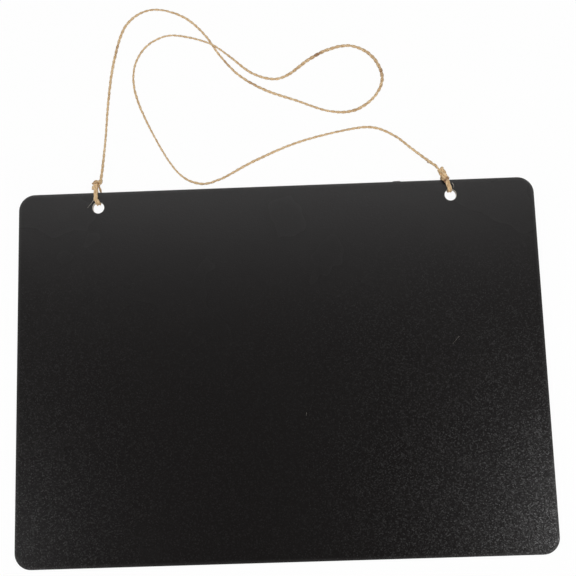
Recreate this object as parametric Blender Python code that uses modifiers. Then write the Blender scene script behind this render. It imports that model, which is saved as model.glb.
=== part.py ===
"""Wall chalkboard with a jute hanging twine, lying on its back with the twine spread out above it.

A thin black writing sheet has two hanging holes near its top edge. One length of twine is tied through
both: at each hole it is doubled round the strip of sheet above the hole and knotted, and between the two
knots it lies free in loose curves. Each doubled loop, with its knot, slides round the rim of its hole.

Metres, +Z up. X runs along the sheet's long side, Y from its bottom edge to its top edge, and the origin
is under the middle of the sheet, on the surface that the board lies on.
"""

import math

import bpy
from mathutils import Matrix, Vector
from mathutils.geometry import interpolate_bezier

# Sheet
BOARD_WIDTH = 0.353
BOARD_HEIGHT = 0.250
BOARD_THICKNESS = 0.003
CORNER_RADIUS = 0.011
EDGE_ROUNDING = 0.0003

# Hanging holes
HOLE_DIAMETER = 0.008
HOLE_SPACING = 0.2416
HOLE_PAIR_SHIFT = -0.0009
HOLE_BELOW_EDGE = 0.0106

# Burr on the top edge, where the cutter came out of the sheet
BURR_CENTRE = 0.0836
BURR_LENGTH = 0.006
BURR_RAMP = 0.001
BURR_HEIGHT = 0.0004

# Twine
TWINE_DIAMETER = 0.0015
CLEARANCE = 0.0003
WRAP_GAP = 0.0005

# Loops, measured from the centre of their hole along the way the loop leans
LEFT_LEAN = math.radians(4)
RIGHT_LEAN = math.radians(14.8)
RIGHT_LOOP_SHIFT = 0.001
LOOP_TURN_RADIUS = 0.0015
LEFT_INNER_BOW = 0.0018

# Left knot: wraps side by side across the loop, level with the front of the sheet
LEFT_KNOT_REACH = 0.0179
LEFT_KNOT_SHIFT = 0.0004
LEFT_KNOT_WRAPS = 3
LEFT_KNOT_DIAMETER = 0.0037
LEFT_LEAD_SPREAD = 0.0006
LEFT_LEAD_LENGTH = 0.0034
LEFT_TAIL_SPREAD = -0.0006
LEFT_TAIL_LENGTH = 0.0057

# Right knot: wraps one after another along the loop, riding on the front of the sheet
RIGHT_KNOT_REACH = 0.01434
RIGHT_KNOT_SHIFT = -0.001
RIGHT_KNOT_TURN = math.radians(9.6)
RIGHT_KNOT_WRAPS = 4
RIGHT_KNOT_DIAMETER = 0.0046
RIGHT_LEAD_SPREAD = -0.0023
RIGHT_LEAD_LENGTH = 0.0019
RIGHT_TAIL_SPREAD = 0.0022
RIGHT_TAIL_LENGTH = 0.0024

# Route of the free twine from the left knot to the right one, by way of the middle of its length:
# x, y and the height of its underside above the surface it lies on
LEFT_ROUTE = [
    (-0.11916, 0.13620, 0.00526),
    (-0.1187, 0.1422, 0.0044),
    (-0.1183, 0.1520, 0.0019),
    (-0.1173, 0.1675, 0.0002),
    (-0.1155, 0.1930, 0.0001),
    (-0.1121, 0.2190, 0.0001),
    (-0.1057, 0.2432, 0.0001),
    (-0.0969, 0.2548, 0.0001),
    (-0.0848, 0.2597, 0.0001),
    (-0.0716, 0.2578, 0.0001),
    (-0.0580, 0.2508, 0.0001),
    (-0.0460, 0.2383, 0.0001),
    (-0.0360, 0.2229, 0.0001),
    (-0.0228, 0.2078, 0.0001),
    (-0.0050, 0.1963, 0.0001),
    (0.0165, 0.1877, 0.0001),
    (0.0395, 0.1789, 0.0001),
    (0.0575, 0.1788, 0.0001),
    (0.0721, 0.1886, 0.0001),
    (0.0779, 0.2030, 0.0001),
    (0.0710, 0.2186, 0.0001),
    (0.0565, 0.2266, 0.0001),
    (0.0400, 0.2241, 0.0001),
    (0.0260, 0.2170, 0.0001),
    (0.0121, 0.2070, 0.0001),
]
RIGHT_ROUTE = [
    (0.0006, 0.2041, 0.0001),
    (-0.0145, 0.2094, 0.0005),
    (-0.0301, 0.2224, 0.0014),
    (-0.0428, 0.2315, 0.0020),
    (-0.0610, 0.2381, 0.0008),
    (-0.0755, 0.2391, 0.0001),
    (-0.0896, 0.2309, 0.0001),
    (-0.0973, 0.2150, 0.0001),
    (-0.0954, 0.1938, 0.0001),
    (-0.0825, 0.1636, 0.0001),
    (-0.0675, 0.1390, 0.0001),
    (-0.0530, 0.1301, 0.0001),
    (-0.0380, 0.1324, 0.0001),
    (-0.0139, 0.1446, 0.0001),
    (0.0162, 0.1567, 0.0001),
    (0.0490, 0.1643, 0.0001),
    (0.0690, 0.1658, 0.0001),
    (0.0840, 0.1591, 0.0006),
    (0.0953, 0.1486, 0.0028),
    (0.1032, 0.1409, 0.0052),
    (0.1080, 0.1362, 0.0071),
    (0.11025, 0.13421, 0.0081),
    (0.11078, 0.13313, 0.00835),
]

# Fineness of the round shapes
CORNER_STEPS = 12
HOLE_STEPS = 48
EDGE_STEPS = 2
RUN_POINTS = 79
WRAP_POINTS = 24
BEND_STEPS = 6
RUN_SIDES = 2
WRAP_SIDES = 1

# Points for measuring the free twine's length, and limits for joining and rounding the sheet's edges
MEASURE_POINTS = 6000
WELD_DISTANCE = 0.00001
SHARP_ANGLE = math.radians(60)

TWINE_RADIUS = TWINE_DIAMETER / 2
HOLE_RADIUS = HOLE_DIAMETER / 2
HUG = TWINE_RADIUS + CLEARANCE
STRAND_OFFSET = HUG
FRONT_LEVEL = BOARD_THICKNESS + HUG
BACK_LEVEL = -HUG
WRAP_PITCH = TWINE_DIAMETER + WRAP_GAP

# The two strands behind each hole hold the top edge up, so the sheet leans on them and on its bottom edge
HOLE_HEIGHT = BOARD_HEIGHT - HOLE_BELOW_EDGE
BOARD_LEAN = math.asin((TWINE_DIAMETER + CLEARANCE) / HOLE_HEIGHT)
BOARD_DEPTH = BOARD_HEIGHT * math.cos(BOARD_LEAN) - BOARD_THICKNESS * math.sin(BOARD_LEAN)


def clear_scene():
    for thing in list(bpy.data.objects):
        bpy.data.objects.remove(thing)


def new_collection(name):
    collection = bpy.data.collections.new(name)
    bpy.context.scene.collection.children.link(collection)
    return collection


def principled(name, colour, roughness, metallic=0.0):
    material = bpy.data.materials.new(name)
    material.use_nodes = True
    shader = material.node_tree.nodes["Principled BSDF"]
    shader.inputs["Base Color"].default_value = (*colour, 1.0)
    shader.inputs["Roughness"].default_value = roughness
    shader.inputs["Metallic"].default_value = metallic
    material.diffuse_color = (*colour, 1.0)
    return material


def place(thing, parent=None, location=(0, 0, 0), turn=(0, 0, 0)):
    COLLECTION.objects.link(thing)
    thing.parent = parent
    thing.location = location
    thing.rotation_euler = turn
    return thing


def empty(name, parent=None, location=(0, 0, 0), turn=(0, 0, 0)):
    return place(bpy.data.objects.new(name, None), parent, location, turn)


def arc(centre_x, centre_y, radius, first_angle, last_angle, steps):
    """Points of an arc, both ends included."""
    points = []
    for step in range(steps + 1):
        angle = first_angle + (last_angle - first_angle) * step / steps
        points.append((centre_x + radius * math.cos(angle), centre_y + radius * math.sin(angle)))
    return points


def sheet_outline():
    """The sheet's rim, anticlockwise from its lower right corner, with its bottom edge on the X axis."""
    inset_x = BOARD_WIDTH / 2 - CORNER_RADIUS
    inset_top = BOARD_HEIGHT - CORNER_RADIUS
    quarter = math.pi / 2
    burr_left = BURR_CENTRE - BURR_LENGTH / 2
    burr_right = BURR_CENTRE + BURR_LENGTH / 2
    burr_top = BOARD_HEIGHT + BURR_HEIGHT
    outline = arc(inset_x, CORNER_RADIUS, CORNER_RADIUS, -quarter, 0, CORNER_STEPS)
    outline += arc(inset_x, inset_top, CORNER_RADIUS, 0, quarter, CORNER_STEPS)
    outline += [(burr_right, BOARD_HEIGHT), (burr_right - BURR_RAMP, burr_top)]
    outline += [(burr_left + BURR_RAMP, burr_top), (burr_left, BOARD_HEIGHT)]
    outline += arc(-inset_x, inset_top, CORNER_RADIUS, quarter, 2 * quarter, CORNER_STEPS)
    outline += arc(-inset_x, CORNER_RADIUS, CORNER_RADIUS, 2 * quarter, 3 * quarter, CORNER_STEPS)
    return outline


def hole_outline(centre_x):
    circle = arc(centre_x, HOLE_HEIGHT, HOLE_RADIUS, 0, 2 * math.pi, HOLE_STEPS)
    return circle[:-1]


def make_sheet(name, outlines, parent, material):
    """A flat curve with its holes, as thick as the board, with every rim eased."""
    curve = bpy.data.curves.new(name, "CURVE")
    curve.dimensions = "2D"
    curve.fill_mode = "BOTH"
    curve.extrude = BOARD_THICKNESS / 2
    for outline in outlines:
        spline = curve.splines.new("POLY")
        spline.points.add(len(outline) - 1)
        spline.use_cyclic_u = True
        for point, (x, y) in zip(spline.points, outline):
            point.co = (x, y, 0, 1)
    curve.materials.append(material)
    sheet = place(bpy.data.objects.new(name, curve), parent, (0, 0, BOARD_THICKNESS / 2))
    weld = sheet.modifiers.new("weld_caps", "WELD")
    weld.merge_threshold = WELD_DISTANCE
    rounding = sheet.modifiers.new("eased_rims", "BEVEL")
    rounding.width = EDGE_ROUNDING
    rounding.segments = EDGE_STEPS
    rounding.limit_method = "ANGLE"
    rounding.angle_limit = SHARP_ANGLE
    return sheet


def make_strand(name, points, sides, parent, material):
    """A round strand of twine along the points."""
    curve = bpy.data.curves.new(name, "CURVE")
    curve.dimensions = "3D"
    curve.bevel_depth = TWINE_RADIUS
    curve.bevel_resolution = sides
    curve.use_fill_caps = True
    spline = curve.splines.new("POLY")
    spline.points.add(len(points) - 1)
    for point, place_at in zip(spline.points, points):
        point.co = (*place_at, 1)
    spline.use_smooth = True
    curve.materials.append(material)
    return place(bpy.data.objects.new(name, curve), parent)


def loop_points(side, front_end, riser_side, riser_reach, riser_top, bow=0):
    """One strand of a loop: down the front of the sheet, through the hole, up behind and to the knot.

    side is the strand's place across the loop where it passes the hole. It bends about the rim of the hole,
    and behind the sheet it runs to riser_side and riser_reach, where it turns up to the level riser_top.
    bow is how far it strays to the right half way behind the sheet.
    """
    rim = math.sqrt(HOLE_RADIUS**2 - side**2)
    points = [Vector((side, front_end, FRONT_LEVEL))]
    points.append(Vector((side, (front_end + rim) / 2, FRONT_LEVEL)))
    for y, z in arc(rim, BOARD_THICKNESS, HUG, math.pi / 2, math.pi, BEND_STEPS):
        points.append(Vector((side, y, z)))
    for y, z in arc(rim, 0, HUG, math.pi, 3 * math.pi / 2, BEND_STEPS):
        points.append(Vector((side, y, z)))
    turn_y = riser_reach - LOOP_TURN_RADIUS
    turn_z = BACK_LEVEL + LOOP_TURN_RADIUS
    steps = BEND_STEPS if bow else 2
    for step in range(1, steps):
        share = step / steps
        x = side + (riser_side - side) * share + bow * math.sin(math.pi * share)
        points.append(Vector((x, rim + (turn_y - rim) * share, BACK_LEVEL)))
    for y, z in arc(turn_y, turn_z, LOOP_TURN_RADIUS, -math.pi / 2, 0, BEND_STEPS):
        points.append(Vector((riser_side, y, z)))
    points.append(Vector((riser_side, riser_reach, riser_top)))
    return points


def winding(wraps, radius):
    """Wraps about the X axis, centred on the origin, as (x, y, z).

    They start at the right, on the front (the +Z side) and heading down (-Y), and end at the left, on the
    front and heading down again.
    """
    points = []
    for step in range(wraps * WRAP_POINTS + 1):
        angle = 2 * math.pi * step / WRAP_POINTS
        along = WRAP_PITCH * (wraps / 2 - step / WRAP_POINTS)
        points.append(Vector((along, -radius * math.sin(angle), radius * math.cos(angle))))
    return points


def run_out(last, before, end, outward):
    """An end of the twine: it leaves the last wrap smoothly and runs straight outward for one diameter."""
    bend_end = end - outward * TWINE_DIAMETER
    reach = (bend_end - last).length / 2
    leaving = last + (last - before).normalized() * reach
    points = interpolate_bezier(last, leaving, bend_end - outward * reach, bend_end, BEND_STEPS)
    return points[1:] + [end]


def with_ends(wraps, lead, tail):
    """The wraps with their lead, which faces away from the hole's centre, and their tail, the cut end."""
    lead_end = wraps[0] + lead
    outward = Vector((lead_end.x, lead_end.y, 0)).normalized()
    tail_end = wraps[-1] + tail
    points = run_out(wraps[0], wraps[1], lead_end, outward)
    points.reverse()
    return points + wraps + run_out(wraps[-1], wraps[-2], tail_end, tail.normalized())


def left_knot_points():
    """The left knot: the free twine comes down into the wraps, and the cut end hangs from the last one."""
    radius = (LEFT_KNOT_DIAMETER - TWINE_DIAMETER) / 2
    middle = Vector((LEFT_KNOT_SHIFT, LEFT_KNOT_REACH, FRONT_LEVEL - radius))
    wraps = [middle + point for point in winding(LEFT_KNOT_WRAPS, radius)]
    lead = Vector((LEFT_LEAD_SPREAD, LEFT_LEAD_LENGTH, 0))
    tail = Vector((LEFT_TAIL_SPREAD, -LEFT_TAIL_LENGTH, 0))
    return with_ends(wraps, lead, tail)


def right_knot_points():
    """The right knot: the free twine comes to its far end, and the cut end crosses the loop at the near one."""
    radius = (RIGHT_KNOT_DIAMETER - TWINE_DIAMETER) / 2
    middle = Vector((RIGHT_KNOT_SHIFT, RIGHT_KNOT_REACH, right_knot_level()))
    turned = Matrix.Rotation(math.pi / 2 + RIGHT_KNOT_TURN, 4, "Z")
    wraps = [middle + turned @ point for point in winding(RIGHT_KNOT_WRAPS, radius)]
    lead = Vector((RIGHT_LEAD_SPREAD, RIGHT_LEAD_LENGTH, 0))
    tail = Vector((RIGHT_TAIL_SPREAD, -RIGHT_TAIL_LENGTH, 0))
    return with_ends(wraps, lead, tail)


def right_knot_level():
    return BOARD_THICKNESS + CLEARANCE + RIGHT_KNOT_DIAMETER / 2


def smooth_curve(points, count):
    """count points, spread evenly over the stretches between the given ones, of a smooth curve through them.

    The curve passes each given point along the line between its neighbours, so bends want points closer
    together than straight runs do, and get more of the count.
    """
    ends = [2 * points[0] - points[1], *points, 2 * points[-1] - points[-2]]
    stretches = len(points) - 1
    curve = []
    for step in range(count):
        along = stretches * step / (count - 1)
        index = min(int(along), stretches - 1)
        share = along - index
        before, here, there, after = ends[index : index + 4]
        arriving = 3 * share**2 - 2 * share**3
        point = here * (1 - arriving) + there * arriving
        point += (there - before) / 2 * (share**3 - 2 * share**2 + share)
        point += (after - here) / 2 * (share**3 - share**2)
        curve.append(point)
    return curve


def lengths_along(curve):
    lengths = [0.0]
    for here, there in zip(curve, curve[1:]):
        lengths.append(lengths[-1] + (there - here).length)
    return lengths


def least_gap(points):
    """The least space that a strand leaves to itself, past the stretch next to each point."""
    lengths = lengths_along(points)
    least = math.inf
    for i, here in enumerate(points):
        for j in range(i + 1, len(points)):
            if lengths[j] - lengths[i] > 2 * TWINE_DIAMETER:
                least = min(least, (points[j] - here).length)
    return least - TWINE_DIAMETER


def centreline(route):
    return [Vector((x, y, rise + TWINE_RADIUS)) for x, y, rise in route]


def make_left_knot(pivot, material):
    points = left_knot_points()
    print(f"left_knot: least gap to itself {1000 * least_gap(points):.2f} mm")
    make_strand("left_knot", points, WRAP_SIDES, pivot, material)
    radius = LEFT_KNOT_DIAMETER / 2
    front_end = LEFT_KNOT_REACH - radius - CLEARANCE
    riser_top = FRONT_LEVEL + TWINE_RADIUS - LEFT_KNOT_DIAMETER - CLEARANCE
    strands = (("left_outer_loop", -STRAND_OFFSET, 0), ("left_inner_loop", STRAND_OFFSET, LEFT_INNER_BOW))
    for name, side, bow in strands:
        points = loop_points(side, front_end, side, LEFT_KNOT_REACH, riser_top, bow)
        make_strand(name, points, RUN_SIDES, pivot, material)


def make_right_knot(pivot, material):
    points = right_knot_points()
    print(f"right_knot: least gap to itself {1000 * least_gap(points):.2f} mm")
    make_strand("right_knot", points, WRAP_SIDES, pivot, material)
    half_length = RIGHT_KNOT_WRAPS * WRAP_PITCH / 2 + TWINE_RADIUS
    front_end = RIGHT_KNOT_REACH - half_length - CLEARANCE
    radius = RIGHT_KNOT_DIAMETER / 2
    hollow = radius - math.sqrt(radius**2 - STRAND_OFFSET**2)
    riser_top = right_knot_level() - radius - CLEARANCE + min(hollow, CLEARANCE)
    for name, offset in (("right_inner_loop", -STRAND_OFFSET), ("right_outer_loop", STRAND_OFFSET)):
        side = RIGHT_LOOP_SHIFT + offset
        riser_side = RIGHT_KNOT_SHIFT + offset
        points = loop_points(side, front_end, riser_side, RIGHT_KNOT_REACH, riser_top)
        make_strand(name, points, RUN_SIDES, pivot, material)


def make_free_twine(material):
    """The twine that lies free between the two knots."""
    route = centreline(LEFT_ROUTE + RIGHT_ROUTE)
    length = lengths_along(smooth_curve(route, MEASURE_POINTS))[-1]
    print(f"free_twine: {1000 * length:.1f} mm from knot to knot")
    make_strand("free_twine", smooth_curve(route, RUN_POINTS), RUN_SIDES, None, material)


clear_scene()
COLLECTION = new_collection("wall_chalkboard")
black_sheet = principled("black_sheet", (0.016, 0.016, 0.016), 0.62)
jute = principled("jute_twine", (0.46, 0.31, 0.17), 0.9)

board_frame = empty("board_frame", None, (0, -BOARD_DEPTH / 2, 0), (BOARD_LEAN, 0, 0))
left_hole_x = HOLE_PAIR_SHIFT - HOLE_SPACING / 2
right_hole_x = HOLE_PAIR_SHIFT + HOLE_SPACING / 2
outlines = [sheet_outline(), hole_outline(left_hole_x), hole_outline(right_hole_x)]
make_sheet("chalkboard_sheet", outlines, board_frame, black_sheet)

left_pivot = empty("left_loop_pivot", board_frame, (left_hole_x, HOLE_HEIGHT, 0), (0, 0, LEFT_LEAN))
right_pivot = empty("right_loop_pivot", board_frame, (right_hole_x, HOLE_HEIGHT, 0), (0, 0, RIGHT_LEAN))
make_left_knot(left_pivot, jute)
make_right_knot(right_pivot, jute)
make_free_twine(jute)
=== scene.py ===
# %% [markdown]
# # A wall chalkboard and its jute twine
#
# The real thing is a thin black writing sheet that hangs from one length of jute twine. In the photograph it
# lies on its back on a white table, with the twine spread out above its top edge. This lesson dresses the
# plain solids of the part: the sheet keeps its solid and gets a grained black finish, and the twine is laid
# again as real twine, two yarns twisted round each other, with loose fibres standing off it.
#
# The first cell loads the solids. They never move, so every new piece is placed in their frame: metres,
# X along the sheet, Y towards the twine, Z up.

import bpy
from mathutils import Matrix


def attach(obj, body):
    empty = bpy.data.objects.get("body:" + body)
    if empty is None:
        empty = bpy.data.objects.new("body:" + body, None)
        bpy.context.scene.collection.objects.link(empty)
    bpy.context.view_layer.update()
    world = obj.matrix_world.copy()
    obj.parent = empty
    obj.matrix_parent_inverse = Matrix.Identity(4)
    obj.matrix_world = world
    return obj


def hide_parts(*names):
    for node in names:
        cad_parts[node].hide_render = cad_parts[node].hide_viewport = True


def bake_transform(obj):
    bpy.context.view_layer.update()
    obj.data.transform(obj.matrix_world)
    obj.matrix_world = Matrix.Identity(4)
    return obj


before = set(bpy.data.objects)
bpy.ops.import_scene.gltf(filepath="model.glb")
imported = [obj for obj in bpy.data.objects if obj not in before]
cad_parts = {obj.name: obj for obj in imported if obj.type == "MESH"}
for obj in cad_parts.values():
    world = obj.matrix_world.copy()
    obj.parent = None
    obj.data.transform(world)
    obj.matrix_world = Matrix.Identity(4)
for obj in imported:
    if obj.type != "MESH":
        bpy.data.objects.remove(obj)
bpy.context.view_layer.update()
print("solids:", sorted(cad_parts))

# %% [markdown]
# ## The camera
#
# The picture was taken by hand from nearly straight above. The place and the turn below are those from which
# the sheet's four corners fall where the photograph has them. A camera could also be aimed at a target, but
# then it couldn't lean sideways by the degree or two that a hand does.

# %% The camera
import math

import bpy
import numpy as np
from mathutils import Matrix, Vector

CAMERA_PLACE = (0.01732, -0.04279, 0.60384)
CAMERA_TURN = (9.1261, 1.2953, -1.8443)
CAMERA_LENS = 56.25
CAMERA_SENSOR = 36

scene = bpy.context.scene
camera_data = bpy.data.cameras.new("camera")
camera_data.lens = CAMERA_LENS
camera_data.sensor_width = CAMERA_SENSOR
camera = bpy.data.objects.new("camera", camera_data)
camera.location = CAMERA_PLACE
camera.rotation_euler = [math.radians(turn) for turn in CAMERA_TURN]
scene.collection.objects.link(camera)
scene.camera = camera
print(f"camera: {CAMERA_PLACE[2]:.3f} m above the table")

# %% [markdown]
# ## Where the free twine runs
#
# A rope's shape is its centreline: everything else is wound round that. The line is a list of chosen points,
# x, y and the height of the twine's underside, and a smooth curve through them. It starts at the left knot,
# comes down to the table, makes its big loop and a smaller one, and passes over itself once in a long low
# hump. It is listed in two halves, one at each knot. Hand-made twine is uneven, so how full it is at each
# point is listed too, as a share of its usual thickness.

# %% The free twine's route
TWINE_DIAMETER = 0.0015
TWINE_RADIUS = TWINE_DIAMETER / 2

LEFT_ROUTE = [
    (-0.11916, 0.13620, 0.00526),
    (-0.1187, 0.1422, 0.0044),
    (-0.1183, 0.1520, 0.0019),
    (-0.1173, 0.1675, 0.0002),
    (-0.1155, 0.1930, 0.0001),
    (-0.1121, 0.2190, 0.0001),
    (-0.1057, 0.2432, 0.0001),
    (-0.0969, 0.2548, 0.0001),
    (-0.0848, 0.2597, 0.0001),
    (-0.0716, 0.2578, 0.0001),
    (-0.0580, 0.2508, 0.0001),
    (-0.0460, 0.2383, 0.0001),
    (-0.0360, 0.2229, 0.0001),
    (-0.0228, 0.2078, 0.0001),
    (-0.0050, 0.1963, 0.0001),
    (0.0165, 0.1877, 0.0001),
    (0.0395, 0.1789, 0.0001),
    (0.0575, 0.1788, 0.0001),
    (0.0721, 0.1886, 0.0001),
    (0.0779, 0.2030, 0.0001),
    (0.0710, 0.2186, 0.0001),
    (0.0565, 0.2266, 0.0001),
    (0.0400, 0.2241, 0.0001),
    (0.0260, 0.2170, 0.0001),
    (0.0121, 0.2070, 0.0001),
]
RIGHT_ROUTE = [
    (0.0006, 0.2041, 0.0001),
    (-0.0145, 0.2094, 0.0005),
    (-0.0301, 0.2224, 0.0014),
    (-0.0428, 0.2315, 0.0020),
    (-0.0610, 0.2381, 0.0008),
    (-0.0755, 0.2391, 0.0001),
    (-0.0896, 0.2309, 0.0001),
    (-0.0973, 0.2150, 0.0001),
    (-0.0954, 0.1938, 0.0001),
    (-0.0825, 0.1636, 0.0001),
    (-0.0675, 0.1390, 0.0001),
    (-0.0530, 0.1301, 0.0001),
    (-0.0380, 0.1324, 0.0001),
    (-0.0139, 0.1446, 0.0001),
    (0.0162, 0.1567, 0.0001),
    (0.0490, 0.1643, 0.0001),
    (0.0690, 0.1658, 0.0001),
    (0.0840, 0.1591, 0.0006),
    (0.0953, 0.1486, 0.0028),
    (0.1032, 0.1409, 0.0052),
    (0.1080, 0.1362, 0.0071),
    (0.11025, 0.13421, 0.0081),
    (0.11078, 0.13313, 0.00835),
]


def smooth_curve(points, steps):
    """Points of a smooth curve through the given ones, steps to a stretch."""
    points = np.array(points, float)
    ends = np.vstack([2 * points[0] - points[1], points, 2 * points[-1] - points[-2]])
    share = (np.arange(steps) / steps)[:, None]
    curve = []
    for before, here, there, after in zip(ends, ends[1:], ends[2:], ends[3:]):
        arriving = 3 * share**2 - 2 * share**3
        point = here * (1 - arriving) + there * arriving
        point = point + (there - before) / 2 * (share**3 - 2 * share**2 + share)
        curve.append(point + (after - here) / 2 * (share**3 - share**2))
    return np.vstack([*curve, points[-1:]])


def lengths_along(line):
    """How far along the line each of its points lies."""
    return np.concatenate([[0], np.cumsum(np.linalg.norm(np.diff(line, axis=0), axis=1))])


def even_line(points, step, steps=40):
    """The smooth curve through the points, with its points about step apart."""
    dense = smooth_curve(points, steps)
    along = lengths_along(dense)
    places = np.linspace(0, along[-1], max(2, round(along[-1] / step) + 1))
    return np.stack([np.interp(places, along, axis) for axis in dense.T], axis=1)


LEFT_FULLNESS = (
    1.20, 1.22, 1.08, 0.92, 1.12, 1.20, 1.22, 1.08, 0.83, 0.86, 1.12, 0.98, 0.94,
    1.04, 1.26, 1.04, 0.97, 1.36, 1.20, 1.48, 1.48, 1.18, 1.45, 1.45, 1.24,
)
RIGHT_FULLNESS = (
    1.16, 1.08, 0.98, 0.79, 0.92, 0.75, 0.98, 0.88, 1.06, 0.81, 0.82, 1.11,
    0.98, 1.14, 1.05, 0.96, 1.10, 1.07, 1.06, 1.18, 1.24, 1.20, 1.20,
)

RUN_STEP = 0.0004
whole_route = [(x, y, rise + TWINE_RADIUS) for x, y, rise in LEFT_ROUTE + RIGHT_ROUTE]
whole_line = even_line(whole_route, RUN_STEP)
middle = int(np.argmin(np.linalg.norm(whole_line - np.array(whole_route[len(LEFT_ROUTE) - 1]), axis=1)))
left_line = whole_line[: middle + 1]
right_line = whole_line[middle:][::-1]
fullness = LEFT_FULLNESS + RIGHT_FULLNESS
places = [int(np.argmin(np.linalg.norm(whole_line - np.array(point), axis=1))) for point in whole_route]
whole_swell = np.interp(np.arange(len(whole_line)), places, fullness)
left_swell = whole_swell[: middle + 1]
right_swell = whole_swell[middle:][::-1]

# %% [markdown]
# ## Twisting a strand
#
# Jute twine is two yarns laid round each other. That could be painted on a plain tube, but then the outline
# would be smooth, and at this thickness the wavy outline is most of what the eye sees. So the yarns are real:
# each is a tube whose centre goes round the strand's centreline once every lay, a little thicker and thinner
# as hand-spun yarn is. The frames that carry the rings are turned along the line without twisting, so the
# lay stays even in the bends.

# %% Yarns round a centreline
YARNS = 2
LAY = 0.0078
YARN_OFFSET_SHARE = 0.36
YARN_RADIUS_SHARE = 0.78
YARN_SIDES = 9
YARN_GRAIN_GAP = 3.7
# How strong each unevenness is, and over what length it changes
LAY_WANDER = (0.25, 0.009)
LONG_SWELLS = (0.05, 0.005)
SHORT_SWELLS = (0.025, 0.0012)


def frames_along(line):
    """Along each point of the line: the way it runs, and two ways across it that don't twist round it."""
    ways = np.gradient(line, axis=0)
    ways /= np.linalg.norm(ways, axis=1)[:, None]
    across = np.cross(ways[0], (0, 0, 1) if abs(ways[0][2]) < 0.9 else (0, 1, 0))
    sides = []
    for way in ways:
        across = across - way * (across @ way)
        across = across / np.linalg.norm(across)
        sides.append(across)
    sides = np.array(sides)
    return ways, sides, np.cross(ways, sides)


def slow_noise(count, step, period, random):
    """A smooth random value, about 1 high, for count points that lie step apart. It changes over period."""
    knots = random.normal(size=max(4, int(count * step / period) + 4))
    places = np.arange(count) * step / period
    low = places.astype(int)
    share = places - low
    share = share * share * (3 - 2 * share)
    return knots[low] * (1 - share) + knots[low + 1] * share


def tube(centres, sides, ups, radii, count):
    """A closed tube: its points ring by ring, its faces, and how far round the ring each point is."""
    turns = np.arange(count) / count * 2 * math.pi
    rings = centres[:, None] + radii[:, None, None] * (
        np.cos(turns)[None, :, None] * sides[:, None] + np.sin(turns)[None, :, None] * ups[:, None]
    )
    points = rings.reshape(-1, 3)
    last = len(centres) - 1
    faces = []
    for ring in range(last):
        a = ring * count
        for i in range(count):
            j = (i + 1) % count
            faces.append((a + i, a + j, a + count + j, a + count + i))
    faces.append(tuple(range(count))[::-1])
    faces.append(tuple(last * count + i for i in range(count)))
    return points, faces, np.tile(turns, len(centres))


def yarns_round(line, radius, start, random, swell, brown_and_shade):
    """The yarns of a strand along the line.

    Each point of the line has its swell, a share of the radius, and how brown it is, 0 to 1, which on the
    left knot is painted shade.
    start is how far along the grain the strand begins, in metres: each strand has its own, so no two look
    alike.
    """
    _, sides, ups = frames_along(line)
    along = lengths_along(line)
    step = along[-1] / (len(line) - 1)

    def noise(strength, period):
        return strength * slow_noise(len(line), step, period, random)

    made = []
    for yarn in range(YARNS):
        turn = 2 * math.pi * ((start + along) / LAY + yarn / YARNS) + noise(*LAY_WANDER)
        out = np.cos(turn)[:, None] * sides + np.sin(turn)[:, None] * ups
        round_way = -np.sin(turn)[:, None] * sides + np.cos(turn)[:, None] * ups
        uneven = 1 + noise(*LONG_SWELLS) + noise(*SHORT_SWELLS)
        centres = line + out * (radius * swell * YARN_OFFSET_SHARE)[:, None]
        radii = radius * swell * YARN_RADIUS_SHARE * uneven
        points, faces, turns = tube(centres, out, round_way, radii, YARN_SIDES)
        grain_place = np.repeat(start + along, YARN_SIDES) + yarn * YARN_GRAIN_GAP
        browned = np.repeat(brown_and_shade, YARN_SIDES)
        made.append((points, faces, np.stack([grain_place, np.cos(turns), np.sin(turns), browned], axis=1)))
    return made


print(f"yarns: {YARNS} round each other once in {1000 * LAY:.1f} mm")

# %% [markdown]
# ## Loose fibres
#
# Jute is hairy: short ends of its fibres stand off the yarn all along it, and a few long ones wander away.
# Blender's hair would do for a picture, but not for a model that other programs open, so each fibre is a
# very thin tapering tube with three sides. It leans along the twine, one way or the other, because the twist
# holds it at one end.

# %% Fibres off a centreline
FIBRE_RADIUS = 0.000035
FIBRE_SIDES = 3
FIBRE_POINTS = 5
FIBRE_TIP_SHARE = 0.35
FIBRE_ROOT_SHARE = 0.75
FIBRE_GRAIN_START = 50
FIBRE_LENGTH = 0.0022


def fibre(points, radius, start, brown_and_shade=0.0):
    """A thin fibre along the points, which tapers to its end."""
    line = even_line(points, lengths_along(np.array(points, float))[-1] / (2 * FIBRE_POINTS))
    _, sides, ups = frames_along(line)
    taper = np.linspace(1, FIBRE_TIP_SHARE, len(line)) * radius
    made, faces, turns = tube(line, sides, ups, taper, FIBRE_SIDES)
    grain_place = np.repeat(start + lengths_along(line), FIBRE_SIDES)
    browned = np.full(len(turns), brown_and_shade)
    return made, faces, np.stack([grain_place, np.cos(turns), np.sin(turns), browned], axis=1)


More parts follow.
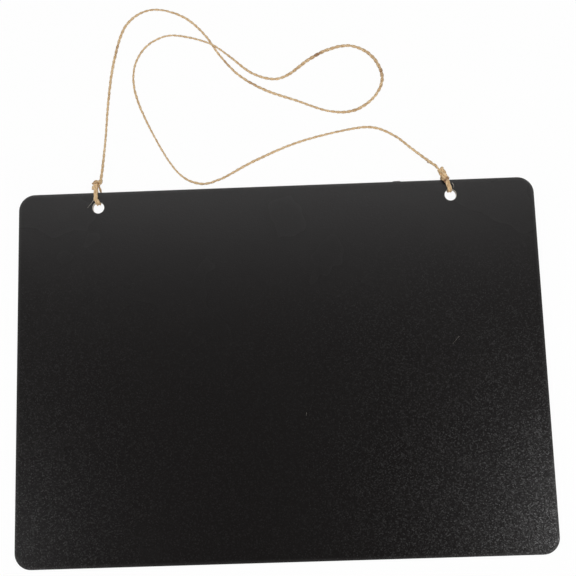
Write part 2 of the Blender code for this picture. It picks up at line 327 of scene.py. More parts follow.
def fibres_off(line, radius, spacing, random, longest=FIBRE_LENGTH, lowest=0.0):
    """Fibres that stand off a strand, one about every spacing of its length and none under lowest."""
    ways, sides, ups = frames_along(line)
    along = lengths_along(line)
    made = []
    for place in np.arange(spacing, along[-1], spacing):
        i = int(np.searchsorted(along, place + random.uniform(-0.5, 0.5) * spacing))
        i = min(max(i, 1), len(line) - 2)
        turn = random.uniform(0, 2 * math.pi)
        out = math.cos(turn) * sides[i] + math.sin(turn) * ups[i]
        over = math.cos(turn + 1.2) * sides[i] + math.sin(turn + 1.2) * ups[i]
        way = ways[i] * random.choice([-1, 1])
        length = random.uniform(0.35, 1) ** 1.5 * longest
        root = line[i] + out * radius * FIBRE_ROOT_SHARE
        bend = root + (0.55 * way + 0.5 * out) * length * 0.5
        rise = random.uniform(0.0, 0.5)
        drift = random.uniform(-0.4, 0.4)
        tip = bend + (0.6 * way + rise * out + drift * over) * length * 0.5
        points = np.array([root, bend, tip])
        points[:, 2] = np.maximum(points[:, 2], lowest)
        made.append(fibre(points, FIBRE_RADIUS * random.uniform(0.7, 1.3), FIBRE_GRAIN_START + place))
    return made


print(f"fibres: {2e6 * FIBRE_RADIUS:.0f} micrometres thick")

# %% [markdown]
# ## Making a piece from its parts
#
# Each piece of twine becomes one mesh: its yarns and its fibres, joined as they are. Every point keeps a mark
# of where it lies on its yarn, how far along and how far round, and one of how brown it is, which on the left
# knot is painted shade. The finish reads them, so the grain of the jute follows the twist instead of cutting
# across it.

# %% One mesh from many shapes
def mesh_piece(name, shapes, finish):
    """An object made of the shapes, each a tuple of points, faces and marks."""
    points, faces, marks = [], [], []
    for shape_points, shape_faces, shape_marks in shapes:
        first = sum(len(part) for part in points)
        points.append(shape_points)
        marks.append(shape_marks)
        faces += [tuple(first + corner for corner in face) for face in shape_faces]
    mesh = bpy.data.meshes.new(name)
    mesh.from_pydata(np.vstack(points).tolist(), [], faces)
    marks = np.vstack(marks).astype(np.float32)
    yarn_place = mesh.attributes.new("yarn_place", "FLOAT_VECTOR", "POINT")
    yarn_place.data.foreach_set("vector", marks[:, :3].ravel())
    browned = mesh.attributes.new("browned", "FLOAT", "POINT")
    browned.data.foreach_set("value", marks[:, 3])
    mesh.shade_smooth()
    mesh.validate()
    mesh.materials.append(finish)
    piece = bpy.data.objects.new(name, mesh)
    scene.collection.objects.link(piece)
    print(f"{name}: {len(mesh.vertices)} points, {len(mesh.polygons)} faces")
    return piece


# %% [markdown]
# ## Writing a finish as sums
#
# A finish is a network of nodes, and most of them are small sums. They can be added one by one, but a line of
# arithmetic is easier to read and to change. The first class below stands for one socket: adding or
# multiplying sockets adds the Math nodes. The second holds a material, or the world, and one method of it
# adds any other node.

# %% Sockets that can be added and multiplied
class Value:
    """One output socket of a finish, or a sum of them."""

    def __init__(self, finish, socket):
        self.finish = finish
        self.socket = socket

    def maths(self, operation, first, second=0.0):
        return self.finish.node("ShaderNodeMath", {"operation": operation}, {0: first, 1: second})

    def also(self, output):
        """Another output of the same node."""
        return Value(self.finish, self.socket.node.outputs[output])

    def at_least(self, other):
        return self.maths("MAXIMUM", self, other)

    def at_most(self, other):
        return self.maths("MINIMUM", self, other)

    def under(self, limit):
        """1 where the value is less than the limit and 0 elsewhere."""
        return self.maths("LESS_THAN", self, limit)

    def __abs__(self):
        return self.maths("ABSOLUTE", self)

    def __add__(self, other):
        return self.maths("ADD", self, other)

    def __radd__(self, other):
        return self.maths("ADD", other, self)

    def __sub__(self, other):
        return self.maths("SUBTRACT", self, other)

    def __rsub__(self, other):
        return self.maths("SUBTRACT", other, self)

    def __mul__(self, other):
        return self.maths("MULTIPLY", self, other)

    def __rmul__(self, other):
        return self.maths("MULTIPLY", other, self)

    def __pow__(self, other):
        return self.maths("POWER", self, other)


class Finish:
    """A material, or the world, whose nodes are added from Python."""

    def __init__(self, owner):
        owner.use_nodes = True
        self.owner = owner
        self.tree = owner.node_tree
        self.tree.nodes.clear()

    def node(self, kind, settings, sockets, output=0):
        """Adds a node. Its settings come first, then the values or links of its sockets.

        Sockets go by name, or by number on a node where two share a name.
        """
        made = self.tree.nodes.new(kind)
        for name, setting in settings.items():
            if name == "stops":
                while len(made.color_ramp.elements) < len(setting):
                    made.color_ramp.elements.new(1)
                for stop, (place, colour) in zip(made.color_ramp.elements, setting):
                    stop.position = place
                    stop.color = (*colour, 1)
            else:
                setattr(made, name, setting)
        for name, given in sockets.items():
            if isinstance(given, Value):
                self.tree.links.new(given.socket, made.inputs[name])
            else:
                made.inputs[name].default_value = given
        return Value(self, made.outputs[output]) if made.outputs else None

    def shown_by(self, shader, kind="ShaderNodeOutputMaterial"):
        self.node(kind, {}, {"Surface": shader})
        return self.owner


def new_finish(name):
    return Finish(bpy.data.materials.new(name))


def colour_mix(finish, share, first, second):
    """first where share is 0 and second where it is 1. The Mix node's colours are its sockets 6 and 7."""
    first = first if isinstance(first, Value) else (*first, 1)
    second = second if isinstance(second, Value) else (*second, 1)
    sockets = {"Factor": share, 6: first, 7: second}
    return finish.node("ShaderNodeMix", {"data_type": "RGBA"}, sockets, 2)


def ramp(finish, value, low, high):
    """0 where the value is low, 1 where it is high, even between them and level beyond."""
    return finish.node("ShaderNodeMapRange", {}, {"Value": value, "From Min": low, "From Max": high})


print("finishes: sums on sockets add Math nodes")

# %% [markdown]
# ## The jute's finish
#
# Jute is a straw-gold fibre that runs from pale to reddish brown along one yarn. The streaks follow the
# fibres, which cross the yarn at a slant because it is spun. So the mark left on each point is turned a
# little further round the further along it lies, and stretched before the noise reads it: the noise then
# comes out as long thin streaks. The same streaks drive a slight relief.

# %% Jute
def streaks(finish, marks, spin, along_scale, round_scale, detail):
    """Noise drawn out into streaks that wind round the yarn, spin turns to a metre."""
    along = finish.node("ShaderNodeSeparateXYZ", {}, {"Vector": marks}, "X")
    across = along.also("Y")
    up = along.also("Z")
    turn = along * (spin * 2 * math.pi)
    cosine = turn.maths("COSINE", turn)
    sine = turn.maths("SINE", turn)
    turned_across = across * cosine - up * sine
    turned_up = across * sine + up * cosine
    sockets = {"X": along * along_scale, "Y": turned_across * round_scale, "Z": turned_up * round_scale}
    place = finish.node("ShaderNodeCombineXYZ", {}, sockets)
    sockets = {"Vector": place, "Scale": 1.0, "Detail": detail, "Roughness": 0.6}
    return finish.node("ShaderNodeTexNoise", {}, sockets)


JUTE_TONES = (
    (0.22, (0.445, 0.268, 0.131)),
    (0.40, (0.705, 0.482, 0.263)),
    (0.60, (0.860, 0.635, 0.380)),
    (0.82, (0.935, 0.790, 0.556)),
)
JUTE_BROWN_AND_SHADE = (0.180, 0.045, 0.020)
JUTE_RELIEF_DISTANCE = 0.0001


def jute_finish():
    finish = new_finish("jute_twine")
    marks = finish.node("ShaderNodeAttribute", {"attribute_name": "yarn_place"}, {}, "Vector")
    fine = streaks(finish, marks, spin=-150, along_scale=450, round_scale=3.5, detail=3)
    patches = streaks(finish, marks, spin=0, along_scale=70, round_scale=0.35, detail=2)
    tone = fine * 0.75 + patches * 0.75 - 0.25
    colour = finish.node("ShaderNodeValToRGB", {"stops": JUTE_TONES}, {"Fac": tone})
    # Browner where a strand is marked so: brown fibres, and on the left knot painted shade.
    browned = finish.node("ShaderNodeAttribute", {"attribute_name": "browned"}, {}, "Fac")
    colour = colour_mix(finish, browned * (1.7 - 2 * tone), colour, JUTE_BROWN_AND_SHADE)
    sockets = {"Strength": 0.5, "Distance": JUTE_RELIEF_DISTANCE, "Height": fine}
    relief = finish.node("ShaderNodeBump", {}, sockets)
    shader = finish.node(
        "ShaderNodeBsdfPrincipled",
        {},
        {"Base Color": colour, "Roughness": 0.85, "Specular IOR Level": 0.25, "Normal": relief},
    )
    return finish.shown_by(shader)


JUTE = jute_finish()
print("jute: streaks that wind round each yarn")

# %% [markdown]
# ## The free twine
#
# The two halves meet in the middle of the run, end to end. The fullest stretches are browned a little and
# five spots more, because the photograph has dark fibres there, and a short thick fibre makes the small lump
# above the right knot.

# %% Lay the free twine
random = np.random.default_rng(7)
FIBRE_SPACING = 0.0016
TABLE_CLEARANCE = 0.00008
# Where each brown spot is, x and y, and how brown
BROWN_SPOTS = (
    (0.0327, 0.2207, 0.85),
    (0.0765, 0.2058, 0.6),
    (-0.0132, 0.2010, 0.5),
    (-0.0301, 0.2170, 0.35),
    (-0.1090, 0.2300, 0.35),
)
BROWN_REACH = 0.0038
# A stretch is browned where its swell is over the first of these, by the second for each 1 of swell
BROWN_FROM_SWELL = 1.2
BROWN_PER_SWELL = 0.8
RIGHT_SLUB = [
    (0.1060, 0.1385, 0.0068), (0.1053, 0.1376, 0.0068),
    (0.1056, 0.1369, 0.0067), (0.1066, 0.1370, 0.0066),
]
SLUB_RADIUS = 0.00060
SLUB_BROWN = 0.8
SLUB_GRAIN_START = 60


def laid_on_table(shapes):
    """The shapes with nothing under the table: soft twine flattens where it lies on it."""
    for points, _, _ in shapes:
        points[:, 2] = np.maximum(points[:, 2], TABLE_CLEARANCE / 2)
    return shapes


free_pieces = {}
for name, line, start, swell in (
    ("left_free_twine", left_line, 0.0, left_swell),
    ("right_free_twine", right_line, 1.0, right_swell),
):
    brown_and_shade = BROWN_PER_SWELL * np.maximum(swell - BROWN_FROM_SWELL, 0)
    for x, y, amount in BROWN_SPOTS:
        away = np.linalg.norm(line[:, :2] - (x, y), axis=1) / BROWN_REACH
        brown_and_shade = np.maximum(brown_and_shade, amount * np.exp(-(away**2)))
    shapes = yarns_round(line, TWINE_RADIUS, start, random, swell, brown_and_shade)
    shapes += fibres_off(line, TWINE_RADIUS, FIBRE_SPACING, random, lowest=TABLE_CLEARANCE)
    if name == "right_free_twine":
        shapes.append(fibre(RIGHT_SLUB, SLUB_RADIUS, SLUB_GRAIN_START, SLUB_BROWN))
    free_pieces[name] = mesh_piece(name, laid_on_table(shapes), JUTE)

# %% [markdown]
# ## The strands through the holes
#
# At each hole the twine is doubled. Both strands come down the front of the sheet from the knot, go through
# the hole side by side, bend tightly round its rim and run up behind the sheet, under the top edge and into
# the knot from below. The path is worked out once, in the loop's own frame, with its zero at the centre of
# the hole, and then laid on the sheet. The strands touch the sheet and each other, as pulled twine does.

# %% Paths of the doubled strands
BOARD_HEIGHT = 0.250
BOARD_THICKNESS = 0.003
HOLE_RADIUS = 0.004
HOLE_BELOW_EDGE = 0.0106
HOLE_HEIGHT = BOARD_HEIGHT - HOLE_BELOW_EDGE
LEFT_HOLE_X = -0.1217
RIGHT_HOLE_X = 0.1199
LEFT_LEAN = math.radians(4)
RIGHT_LEAN = math.radians(14.8)
BEND_STEPS = 6
LIFT = 0.0018

HUG = 0.00086
FRONT_LEVEL = BOARD_THICKNESS + HUG
BACK_LEVEL = -HUG
BOARD_LEAN = math.asin(LIFT / HOLE_HEIGHT)
BOARD_DEPTH = BOARD_HEIGHT * math.cos(BOARD_LEAN) - BOARD_THICKNESS * math.sin(BOARD_LEAN)
SHEET = Matrix.Translation((0, -BOARD_DEPTH / 2, 0)) @ Matrix.Rotation(BOARD_LEAN, 4, "X")


def on_loop(hole_x, lean, points):
    """Points of a loop's own frame, laid on the sheet."""
    loop = SHEET @ Matrix.Translation((hole_x, HOLE_HEIGHT, 0)) @ Matrix.Rotation(lean, 4, "Z")
    return np.array([loop @ Vector(point) for point in points])


def arc(centre_y, centre_z, radius, first_angle, last_angle):
    """Points of an arc in the loop's upright plane, as (y, z)."""
    angles = np.linspace(first_angle, last_angle, BEND_STEPS + 1)
    return [(centre_y + radius * math.cos(angle), centre_z + radius * math.sin(angle)) for angle in angles]


def strand_path(side, top, rear):
    """From the knot's middle down the front, round the rim of the hole, and up behind by way of rear."""
    rim = math.sqrt(HOLE_RADIUS**2 - side**2)
    path = [*top, ((top[-1][0] + side) / 2, (top[-1][1] + rim) / 2, FRONT_LEVEL)]
    path += [(side, y, z) for y, z in arc(rim, BOARD_THICKNESS, HUG, math.pi / 2, math.pi)]
    path += [(side, y, z) for y, z in arc(rim, 0, HUG, math.pi, 3 * math.pi / 2)]
    return path + rear


print(f"sheet: leans {math.degrees(BOARD_LEAN):.2f} degrees on the strands behind it")

# %% [markdown]
# ## Strands of uneven thickness
#
# Where twine is pulled into a knot it spreads, and a cut end goes thin as its fibres fall out. So the short
# strands below are given a thickness at even places along them, as shares of the free twine's, and where they
# are dark also how brown they are: dark fibres on the right knot's crossing, and painted shade on the left
# knot.

# %% Short strands
KNOT_STEP = 0.00025
KNOT_CURVE_STEPS = 12
STRAND_FIBRE_LENGTH = 0.0016
KNOT_FIBRE_LENGTH = 0.0018
# How strong the swells of a short strand are, and over what length they change
SHORT_STRAND_SWELLS = (0.05, 0.003)


def strand_shapes(line, start, swells, longest, browns_and_shade=(0.0, 0.0)):
    """The yarns and fibres of a short strand. swells are its thicknesses at even places along it."""
    share = np.linspace(0, 1, len(line))
    thickness = np.interp(share, np.linspace(0, 1, len(swells)), swells)
    strength, period = SHORT_STRAND_SWELLS
    thickness *= 1 + strength * slow_noise(len(line), KNOT_STEP, period, random)
    brown_and_shade = np.interp(share, np.linspace(0, 1, len(browns_and_shade)), browns_and_shade)
    shapes = yarns_round(line, TWINE_RADIUS, start, random, thickness, brown_and_shade)
    shapes += fibres_off(line, TWINE_RADIUS * max(swells), FIBRE_SPACING, random, longest)
    return laid_on_table(shapes)


def on_left(points):
    return even_line(on_loop(LEFT_HOLE_X, LEFT_LEAN, points), KNOT_STEP, KNOT_CURVE_STEPS)


def on_right(points):
    return even_line(on_loop(RIGHT_HOLE_X, RIGHT_LEAN, points), KNOT_STEP, KNOT_CURVE_STEPS)


print("short strands: one point every quarter of a millimetre")

# %% [markdown]
# ## The left knot and its strands
#
# In the photograph the left knot is a small hitch across the loop. The free twine comes down at its right,
# crosses over both strands, goes round behind them, makes a second, hidden turn and leaves at the left as a
# short cut end. It is drawn as one path of points, because a knot's turns are never quite even.
# Behind the sheet the right-hand strand strays to the right, where it can be seen past the top edge.

# %% Tie the left knot
LEFT_KNOT = [
    (0.0040, 0.0226, 0.0040), (0.0038, 0.0208, 0.0042), (0.0036, 0.0194, 0.0046), (0.0033, 0.0183, 0.0051),
    (0.0025, 0.0177, 0.0054), (0.0013, 0.0179, 0.0055), (-0.0001, 0.0180, 0.0052), (-0.0013, 0.0176, 0.0045),
    (-0.0020, 0.0173, 0.0033), (-0.0019, 0.0176, 0.0021), (-0.0009, 0.0180, 0.0014), (0.0009, 0.0184, 0.0013),
    (0.0023, 0.0188, 0.0017), (0.0034, 0.0189, 0.0026), (0.0039, 0.0186, 0.0036), (0.0037, 0.0178, 0.0041),
    (0.0028, 0.0170, 0.0037), (0.0016, 0.0165, 0.0026), (0.0001, 0.0163, 0.0019), (-0.0016, 0.0160, 0.0023),
    (-0.0024, 0.0152, 0.0036), (-0.0026, 0.0139, 0.0043), (-0.0027, 0.0126, 0.0046),
]
# Painted shade: the left knot is made browner where it turns down and under its front crossing, where shade
# falls.
LEFT_KNOT_PAINTED_SHADE = (0.0, 0.0, 0.1, 0.5, 0.6, 0.4, 0.1, 0.0, 0.1, 0.3, 0.2)
LEFT_KNOT_SWELLS = (1.2, 1.22, 1.26, 1.20, 0.56)
# Each strand: how far aside it lies in front, how far at the rim of the hole, and its bow behind the sheet
LEFT_STRANDS = ((-0.00068, -0.0009, 0.0), (0.00068, 0.0006, 0.0013))
LEFT_STRAND_SWELLS = (1.04, 1.08, 0.98)

left_strand_paths = []
for side, rim_side, bow in LEFT_STRANDS:
    top = [(side * 0.6 - 0.0004, 0.0184, 0.0028), (side - 0.0006, 0.0168, 0.0036)]
    top += [(side - 0.0007, 0.0152, FRONT_LEVEL), (side - 0.0008, 0.0110, FRONT_LEVEL)]
    top += [(side - 0.0011, 0.0064, FRONT_LEVEL)]
    rear = [(side + 0.9 * bow, 0.0075, BACK_LEVEL), (side + bow, 0.0106, BACK_LEVEL)]
    rear += [(side + 0.6 * bow, 0.0135, BACK_LEVEL), (side, 0.0165, -0.0004), (side * 0.8, 0.0182, 0.0014)]
    left_strand_paths.append(strand_path(rim_side, top, rear))

shapes = []
for i, path in enumerate(left_strand_paths):
    shapes += strand_shapes(on_left(path), 2.0 + i, LEFT_STRAND_SWELLS, STRAND_FIBRE_LENGTH)
left_strands = mesh_piece("left_loop_strands", shapes, JUTE)
shapes = strand_shapes(on_left(LEFT_KNOT), 4.0, LEFT_KNOT_SWELLS, KNOT_FIBRE_LENGTH, LEFT_KNOT_PAINTED_SHADE)
left_knot = mesh_piece("left_knot_wraps", shapes, JUTE)

# %% [markdown]
# ## The right knot and its strands
#
# The right knot is a barrel that rides on the sheet's top edge and points along the free twine. Here the
# twine runs up and down the loop in four passes that twist a little round each other, and its last turn
# crosses in front below them. A function lays the passes: each is a long steep curve round the barrel's axis.

# %% Tie the right knot
BARREL_TOP = Vector((-0.0017, 0.0186, 0.0056))
BARREL_FOOT = Vector((-0.0003, 0.0114, 0.0056))
BARREL_RADIUS = 0.00148
PASS_TWIST = -130
PASS_STEPS = 5


def barrel_point(down, angle, radius=BARREL_RADIUS):
    """A point round the barrel: down is 0 at its top and 1 at its foot, and 90 degrees is its front."""
    turn = math.radians(angle)
    out = Vector((math.cos(turn), 0, math.sin(turn))) * radius
    return BARREL_TOP.lerp(BARREL_FOOT, down) + out


def barrel_pass(top_angle, downward):
    """One pass along the barrel, down from its top or up from its foot."""
    shares = [step / PASS_STEPS for step in range(PASS_STEPS + 1)]
    points = [barrel_point(share, top_angle + PASS_TWIST * share) for share in shares]
    return points if downward else points[::-1]


RIGHT_LEAD = [(-0.0043, 0.0216, 0.0069), (-0.0038, 0.0199, 0.0071), (-0.0031, 0.0189, 0.0067)]
right_knot_path = [Vector(point) for point in RIGHT_LEAD]
right_knot_path += barrel_pass(150, True)[1:] + [barrel_point(1.06, -15, 0.0012)]
right_knot_path += barrel_pass(60, False) + [barrel_point(-0.03, 15, 0.0014)]
right_knot_path += barrel_pass(-30, True) + [barrel_point(1.06, 155, 0.0012)]
right_knot_path += barrel_pass(-120, False) + [barrel_point(0.1, -100, 0.0003)]
RIGHT_CROSSING = [
    (-0.0002, 0.0122, 0.0050), (0.0006, 0.0119, 0.0042), (0.0012, 0.0115, 0.0045), (0.0015, 0.0112, 0.0056),
    (0.0012, 0.0109, 0.0069), (0.0003, 0.0106, 0.0074), (-0.0007, 0.0103, 0.0071), (-0.0013, 0.0100, 0.0060),
    (-0.0014, 0.0097, 0.0049), (-0.0009, 0.0094, 0.0042),
]
RIGHT_KNOT_SWELLS = (1.2, 1.28, 1.28, 1.28)
CROSSING_SWELLS = (1.0, 1.05, 0.9)
CROSSING_BROWNS = (0.1, 0.7, 1.0, 1.0, 0.7)
RIGHT_STRAND_OFFSETS = (-0.00072, 0.00072)
RIGHT_STRAND_SWELLS = (1.0, 1.08, 0.98)

right_strand_paths = []
for offset in RIGHT_STRAND_OFFSETS:
    top = [(-0.0008 + offset * 0.4, 0.0150, 0.0056), (0.0001 + offset * 0.7, 0.0112, 0.0054)]
    top += [(0.0006 + offset, 0.0086, 0.0042)]
    rear = [(offset, 0.0080, BACK_LEVEL), (-0.001 + offset, 0.0118, BACK_LEVEL)]
    rear += [(-0.001 + offset, 0.0138, -0.0002), (-0.001 + offset, 0.0150, 0.0034)]
    right_strand_paths.append(strand_path(0.0006 + offset, top, rear))

shapes = []
for i, path in enumerate(right_strand_paths):
    shapes += strand_shapes(on_right(path), 5.0 + i, RIGHT_STRAND_SWELLS, STRAND_FIBRE_LENGTH)
right_strands = mesh_piece("right_loop_strands", shapes, JUTE)
shapes = strand_shapes(on_right(right_knot_path), 7.0, RIGHT_KNOT_SWELLS, KNOT_FIBRE_LENGTH)
shapes += strand_shapes(on_right(RIGHT_CROSSING), 8.0, CROSSING_SWELLS, STRAND_FIBRE_LENGTH, CROSSING_BROWNS)
right_knot = mesh_piece("right_knot_wraps", shapes, JUTE)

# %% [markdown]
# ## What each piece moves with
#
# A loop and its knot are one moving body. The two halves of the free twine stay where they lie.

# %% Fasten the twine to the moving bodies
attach(left_strands, "left_loop")
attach(left_knot, "left_loop")
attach(right_strands, "right_loop")
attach(right_knot, "right_loop")
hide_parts("left_outer_loop", "left_inner_loop")
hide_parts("left_knot")
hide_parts("right_inner_loop", "right_outer_loop")
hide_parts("right_knot")

left_free = free_pieces["left_free_twine"]
right_free = free_pieces["right_free_twine"]
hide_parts("free_twine")
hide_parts("free_twine")
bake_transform(left_free)
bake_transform(right_free)

# %% [markdown]
# ## The holes' walls and the outer edge
#
# The walls of the two holes are pale. A band along the outermost edge is a little paler, a painted glow that
# stands in for light along the edge. Both could be marked on the mesh by hand. Here sums on the place do it,
# from the sizes of the sheet: how far a place is from the middle of a hole, and how far inside the rounded
# outline.

# %% Masks on the sheet
BOARD_WIDTH = 0.353
CORNER_RADIUS = 0.011
RIM_WIDTH = 0.0026
WALL_SLACK = 0.0001
HOLE_Y = (SHEET @ Vector((0, HOLE_HEIGHT, BOARD_THICKNESS / 2))).y


def in_holes(across, up):
    """1 on the walls of the two holes and 0 everywhere else."""
    inside = 0.0
    for hole_x in (LEFT_HOLE_X, RIGHT_HOLE_X):
        far = (across - hole_x) ** 2 + (up - HOLE_Y) ** 2
        inside = inside + far.under((HOLE_RADIUS + WALL_SLACK) ** 2)
    return inside


def near_rim(finish, across, up):
    """How near the outer edge: 0 up to RIM_WIDTH inside it, and 1 on the edge."""
    out_x = abs(across) - (BOARD_WIDTH / 2 - CORNER_RADIUS)
    out_y = abs(up) - (BOARD_DEPTH / 2 - CORNER_RADIUS)
    corner = (out_x.at_least(0.0) ** 2 + out_y.at_least(0.0) ** 2) ** 0.5
    past = corner + out_x.at_least(out_y).at_most(0.0) - CORNER_RADIUS
    return ramp(finish, past, -RIM_WIDTH, 0.0)


print(f"masks: holes at y {HOLE_Y:.4f}, rim {1000 * RIM_WIDTH:.1f} mm wide")

# %% [markdown]
# ## The sheet's finish
#
# The faces are black with a fine grain pressed into them. The bumps of the grain are well under a millimetre
# across. They could be modelled, but at that size a faint relief in the finish looks the same and costs
# nothing. A clear coat gives the broad soft sheen. Each bump has its own thickness of coat, thickest on its
# top, which breaks the sheen into fine light specks: a Voronoi texture says how far each place is from the
# nearest top, and its colour is that bump's own chance value. How strong the specks are by place is painted
# glint: they are strongest at the lower right, strong at the left and fade towards the middle and the top
# edge, because the photograph shows them so, where the side lamps catch the grain. A slower unevenness in the
# sheen keeps the large flat face from looking printed.

# %% Black sheet
RELIEF_SCALE = 1150.0
RELIEF_DISTANCE = 0.00010
SPECK_SCALE = 1350.0
SPECK_REACH = 0.98
CLOUD_SCALE = 14.0
FACE_BLACKS = ((0.0026, 0.0015, 0.0014), (0.0036, 0.0024, 0.0022))
EDGE_GLOW_GREY = (0.055, 0.053, 0.052)
PALE_WALL_TONES = ((0.58, 0.54, 0.47), (0.78, 0.74, 0.67))
COAT_LEVEL = 0.42
SPECK_STRENGTH = 0.95
# Where the painted glint of the specks starts and where it is full: away from a line left of the middle, and
# down the sheet
SPECK_LINE_X = -0.035
SPECKS_ASIDE = (0.0429, 0.1143)
SPECKS_DOWN = (0.0954, -0.0585)


def painted_glint_share(finish, across, up):
    """How strong the specks are, a painted glint by place: next to nothing at the top and more than 1 at the
    lower right.
    """
    aside = ramp(finish, abs(across - SPECK_LINE_X), *SPECKS_ASIDE)
    lower = ramp(finish, up, *SPECKS_DOWN)
    return lower * (aside * 0.6 + 0.4) * (0.78 + 2.6 * across.at_least(0.0)) + 0.06


def sheet_finish():
    finish = new_finish("black_sheet")
    place = finish.node("ShaderNodeTexCoord", {}, {}, "Object")
    across = finish.node("ShaderNodeSeparateXYZ", {}, {"Vector": place}, "X")
    up = across.also("Y")
    sockets = {"Vector": place, "Scale": RELIEF_SCALE, "Detail": 1.0, "Roughness": 0.5}
    pebbles = finish.node("ShaderNodeTexNoise", {}, sockets)
    cloud = finish.node("ShaderNodeTexNoise", {}, {"Vector": place, "Scale": CLOUD_SCALE, "Detail": 3.0})
    from_top = finish.node("ShaderNodeTexVoronoi", {}, {"Vector": place, "Scale": SPECK_SCALE}, "Distance")
    tops = (SPECK_REACH - from_top).at_least(0.0) ** 2.5
    chance = finish.node("ShaderNodeSeparateXYZ", {}, {"Vector": from_top.also("Color")}, "X") ** 3
    specks = (chance * (0.5 + tops * 3.0) - 0.25) * SPECK_STRENGTH * painted_glint_share(finish, across, up)

    walls = in_holes(across, up)
    # Painted glow: a band along the outer edge is made paler, standing in for light along the edge.
    edge_glow = near_rim(finish, across, up) ** 1.6 * (0.6 + 0.8 * cloud) * 0.5
    face = colour_mix(finish, pebbles, *FACE_BLACKS)
    face = colour_mix(finish, edge_glow, face, EDGE_GLOW_GREY)
    # The walls of the holes get a pale colour.
    wall_colour = colour_mix(finish, pebbles, *PALE_WALL_TONES)
    sockets = {"Strength": 1.0, "Distance": RELIEF_DISTANCE, "Height": pebbles}
    relief = finish.node("ShaderNodeBump", {}, sockets)
    shader = finish.node(
        "ShaderNodeBsdfPrincipled",
        {},
        {
            "Base Color": colour_mix(finish, walls, face, wall_colour),
            "Roughness": 0.24 + 0.06 * cloud + 0.25 * walls,
            "Specular IOR Level": 0.15,
            "Normal": relief,
            "Coat Weight": (COAT_LEVEL + specks) * (1 - walls),
            "Coat Roughness": 0.33,
        },
    )
    return finish.shown_by(shader)


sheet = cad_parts["chalkboard_sheet"]
sheet.data.materials.clear()
sheet.data.materials.append(sheet_finish())
print("sheet: grained black")

# %% [markdown]
# ## Lint
#
# Two bits of fluff that have come off the twine lie on the sheet, and beside each hole one long pale fibre
# stands away from the loop. They are fibres like the others, only thicker and paler.

# %% Lint
LINT_RADIUS = 0.00008
STRAY_RADIUS = 0.00024
HAIR = [(0.12007, 0.01748, 0.00414), (0.11831, 0.01587, 0.00418), (0.11544, 0.0123, 0.00410)]
SPECK = [(0.0164, -0.02966, 0.00379), (0.0162, -0.0306, 0.00384), (0.0163, -0.03162, 0.00377)]
LEFT_STRAY = [
    (-0.1236, 0.1217, 0.0054), (-0.12555, 0.11843, 0.0056),
    (-0.12748, 0.11617, 0.0054), (-0.1290, 0.11439, 0.0053),
]
RIGHT_STRAY = [(0.12125, 0.12233, 0.0062), (0.12219, 0.12088, 0.0058), (0.1222, 0.11877, 0.0057)]


def lint_finish():
    finish = new_finish("pale_lint")
    place = finish.node("ShaderNodeTexCoord", {}, {}, "Object")
    patches = finish.node("ShaderNodeTexNoise", {}, {"Vector": place, "Scale": 700.0})
    colour = colour_mix(finish, patches, (0.36, 0.33, 0.29), (0.70, 0.66, 0.58))
    sockets = {"Base Color": colour, "Roughness": 0.9}
    return finish.shown_by(finish.node("ShaderNodeBsdfPrincipled", {}, sockets))


hair = fibre(HAIR, LINT_RADIUS, 0)
speck = fibre(SPECK, LINT_RADIUS, 0)
PALE_LINT = lint_finish()
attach(mesh_piece("sheet_lint", [hair, speck], PALE_LINT), "board")
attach(mesh_piece("left_stray", [fibre(LEFT_STRAY, STRAY_RADIUS, 1)], PALE_LINT), "left_loop")
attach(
    mesh_piece("right_stray", [fibre(RIGHT_STRAY, STRAY_RADIUS, 2)], PALE_LINT), "right_loop"
)

# %% [markdown]
# ## The table and the light
#
# The photograph has a pure white table with hardly a shadow. More light on the table would wash out the twine
# as well, so the table is lit as everything else is, and the camera alone sees most of it as plain white. The
# rest is the lit table, which keeps the soft shadows. The light is a dim white room with five soft lamps. A
# long narrow one beyond the top edge puts the sheen on the upper part of the sheet, and two small ones, right
# and left, bring out the grain at its lower corners. Two wide weak ones, in front and on the left, fill the
# shadows of the twine.

# %% Table
TABLE_SIZE = 6.0
SEEN_WHITE_SHARE = 0.96
WHITE = (1, 1, 1, 1)


def table_finish():
    finish = new_finish("white_table")
    seen = finish.node("ShaderNodeLightPath", {}, {}, "Is Camera Ray")
    sockets = {"Base Color": (0.95, 0.95, 0.95, 1), "Roughness": 0.9, "Specular IOR Level": 0.0}
    lit = finish.node("ShaderNodeBsdfPrincipled", {}, sockets)
    plain = finish.node("ShaderNodeEmission", {}, {"Color": WHITE, "Strength": 1.0})
    both = finish.node("ShaderNodeMixShader", {}, {0: seen * SEEN_WHITE_SHARE, 1: lit, 2: plain})
    return finish.shown_by(both)


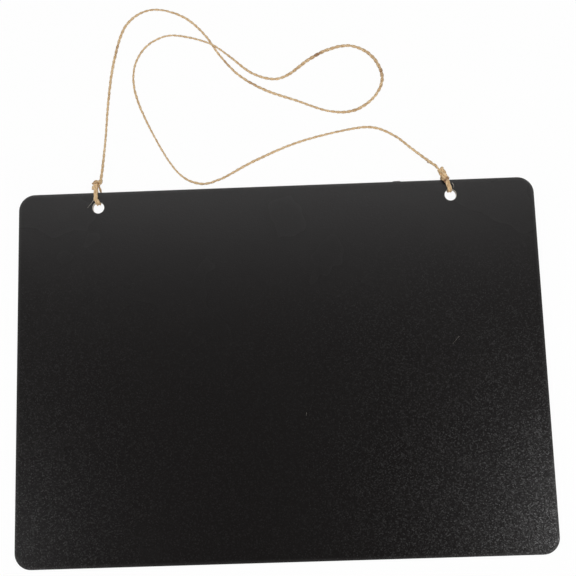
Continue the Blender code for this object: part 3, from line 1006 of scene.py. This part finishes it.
half = TABLE_SIZE / 2
corners = [(-half, -half, 0), (half, -half, 0), (half, half, 0), (-half, half, 0)]
table_mesh = bpy.data.meshes.new("table")
table_mesh.from_pydata(corners, [], [(0, 1, 2, 3)])
table_mesh.materials.append(table_finish())
table = bpy.data.objects.new("table", table_mesh)
scene.collection.objects.link(table)
print(f"table: {TABLE_SIZE:.0f} m across")

# %% Room light
ROOM_LEVEL = 0.16

room = Finish(bpy.data.worlds.new("room"))
seen = room.node("ShaderNodeLightPath", {}, {}, "Is Camera Ray")
level = seen * (1 - ROOM_LEVEL) + ROOM_LEVEL
light = room.node("ShaderNodeBackground", {}, {"Color": WHITE, "Strength": level})
scene.world = room.shown_by(light, "ShaderNodeOutputWorld")
print(f"room: {ROOM_LEVEL} of white, and white to the camera")


# %% Lamps
def soft_lamp(name, place, aim, width, height, radiance):
    """A rectangular lamp that is radiance times as bright as white."""
    data = bpy.data.lights.new(name, "AREA")
    data.shape = "RECTANGLE"
    data.size = width
    data.size_y = height
    data.energy = radiance * math.pi * width * height
    lamp = bpy.data.objects.new(name, data)
    lamp.location = place
    lamp.visible_camera = False
    lamp.rotation_euler = (Vector(aim) - Vector(place)).to_track_quat("-Z", "Y").to_euler()
    scene.collection.objects.link(lamp)
    print(f"{name}: {radiance:.1f} times white")


# Each lamp: its name, place, aim, width, height and radiance
LAMPS = (
    ("lamp_beyond", (0, 0.57, 1.20), (0, 0.12, 0), 1.5, 0.12, 7.0),
    ("lamp_right", (0.71, -0.33, 1.00), (0, 0, 0), 0.16, 0.16, 61.0),
    ("lamp_left", (-0.78, -0.33, 1.00), (0, 0, 0), 0.16, 0.16, 25.0),
    ("lamp_front", (0, -1.5, 1.00), (0, 0, 0), 1.8, 0.8, 1.2),
    ("lamp_side", (-1.3, 0.5, 1.10), (0, 0, 0), 1.2, 0.9, 1.2),
)
for lamp in LAMPS:
    soft_lamp(*lamp)

# %% [markdown]
# ## The view of the colours
#
# The colours are written as they should look, so the plainest view is the right one.

# %% Colours and sizes
scene.view_settings.view_transform = "Standard"
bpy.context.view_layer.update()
